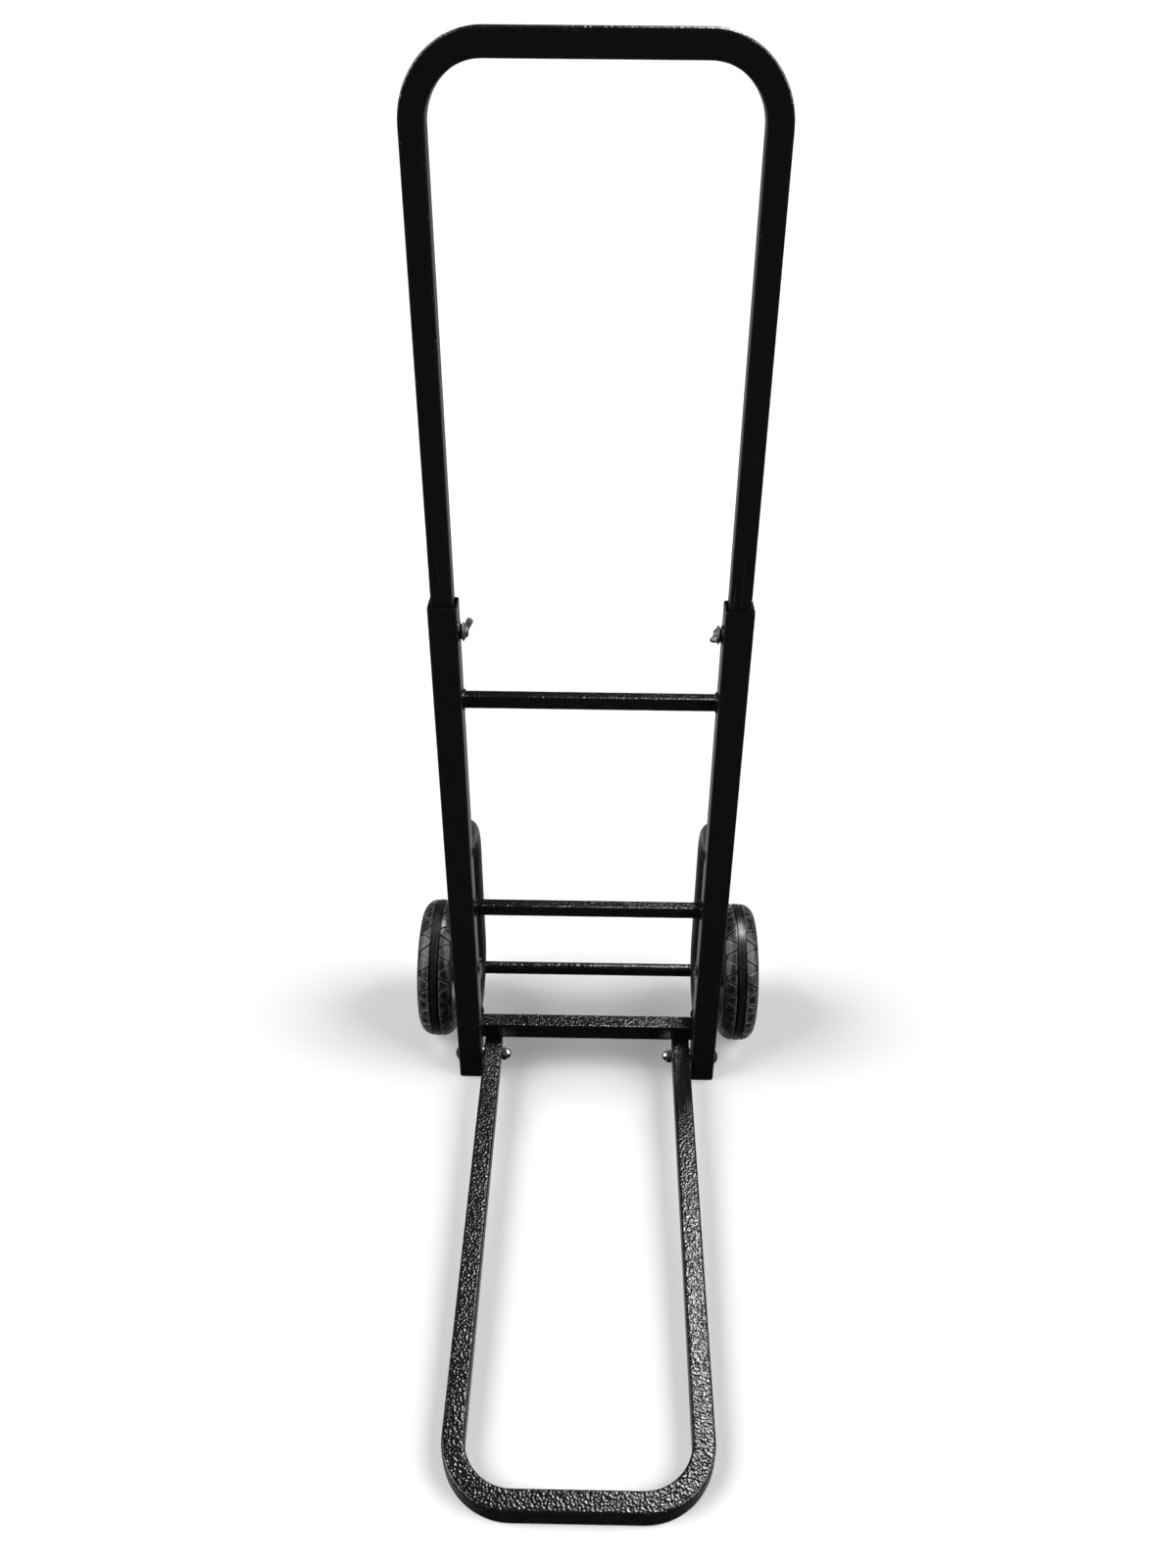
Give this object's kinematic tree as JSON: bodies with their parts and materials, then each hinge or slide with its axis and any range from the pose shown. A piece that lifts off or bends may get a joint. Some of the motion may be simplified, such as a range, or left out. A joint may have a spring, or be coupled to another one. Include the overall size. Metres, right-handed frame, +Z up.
{
  "type": "folding hand truck",
  "caption": "Square-tube hand truck: telescoping handle held by wing screws, folding tube nose, bent axle brackets, fixed axle and rubber-tyred wheels",
  "frame": {"origin": "on the floor under the middle of the whole truck's box", "axes": "+X across the truck to its right as seen from the nose side's front, +Y from the nose towards the wheels, +Z up"},
  "size_m": [0.3702, 0.6375, 0.99],
  "materials": {
    "black_enamel": "gloss black hammered enamel, fine wrinkle, light scuffs",
    "cap_plastic": "moulded black polyethylene",
    "nylon": "natural nylon, satin",
    "black_oxide": "black oxide steel, satin",
    "dark_zinc": "dark plated die casting, satin",
    "bright_zinc": "bright zinc plate",
    "tyre_rubber": "black rubber, light dust in the tread",
    "core_plastic": "moulded black polypropylene"
  },
  "bodies": {
    "frame": {"rail_left": "black_enamel", "rail_right": "black_enamel", "foot_cap_left": "cap_plastic", "foot_cap_right": "cap_plastic", "crossbar_upper": "black_enamel", "crossbar_middle": "black_enamel", "stop_bar": "black_enamel", "axle_bracket_left": "black_enamel", "axle_bracket_right": "black_enamel", "axle": "black_enamel", "clamp_nut_left": "black_enamel", "clamp_nut_right": "black_enamel", "pivot_bolt_left": "black_oxide", "pivot_bolt_right": "black_oxide", "pivot_nut_left": "bright_zinc", "pivot_nut_right": "bright_zinc", "axle_collar_left": "bright_zinc", "axle_collar_right": "bright_zinc", "axle_washer_inner_left": "bright_zinc", "axle_washer_inner_right": "bright_zinc", "axle_washer_outer_left": "bright_zinc", "axle_washer_outer_right": "bright_zinc", "axle_cap_left": "bright_zinc", "axle_cap_right": "bright_zinc"},
    "handle": {"handle_loop": "black_enamel", "handle_glide_left": "nylon", "handle_glide_right": "nylon"},
    "nose": {"nose_loop": "black_enamel", "nose_plug_left": "cap_plastic", "nose_plug_right": "cap_plastic", "pivot_spacer_left": "nylon", "pivot_spacer_right": "nylon"},
    "wing_screw_left": {"wing_screw_left": "dark_zinc"},
    "wing_screw_right": {"wing_screw_right": "dark_zinc"},
    "wheel_left": {"tyre_left": "tyre_rubber", "wheel_core_left": "core_plastic", "bushing_inner_left": "nylon", "bushing_outer_left": "nylon"},
    "wheel_right": {"tyre_right": "tyre_rubber", "wheel_core_right": "core_plastic", "bushing_inner_right": "nylon", "bushing_outer_right": "nylon"}
  },
  "joints": [
    {"name": "handle_slide", "type": "slide", "parent": "frame", "child": "handle", "axis": [0, 0, 1], "range_m": [-0.36, 0.03]},
    {"name": "nose_fold", "type": "hinge", "parent": "frame", "child": "nose", "pos_m": [0, 0.16128, 0.024], "axis": [-1, 0, 0], "range_deg": [0, 88]},
    {"name": "wing_turn_left", "type": "hinge", "parent": "frame", "child": "wing_screw_left", "pos_m": [-0.1143, 0.16128, 0.541], "axis": [1, 0, 0], "continuous": true},
    {"name": "wing_turn_right", "type": "hinge", "parent": "frame", "child": "wing_screw_right", "pos_m": [0.1143, 0.16128, 0.541], "axis": [1, 0, 0], "continuous": true},
    {"name": "wheel_spin_left", "type": "hinge", "parent": "frame", "child": "wheel_left", "pos_m": [-0.166, 0.24258, 0.0762], "axis": [1, 0, 0], "continuous": true},
    {"name": "wheel_spin_right", "type": "hinge", "parent": "frame", "child": "wheel_right", "pos_m": [0.166, 0.24258, 0.0762], "axis": [1, 0, 0], "continuous": true}
  ]
}
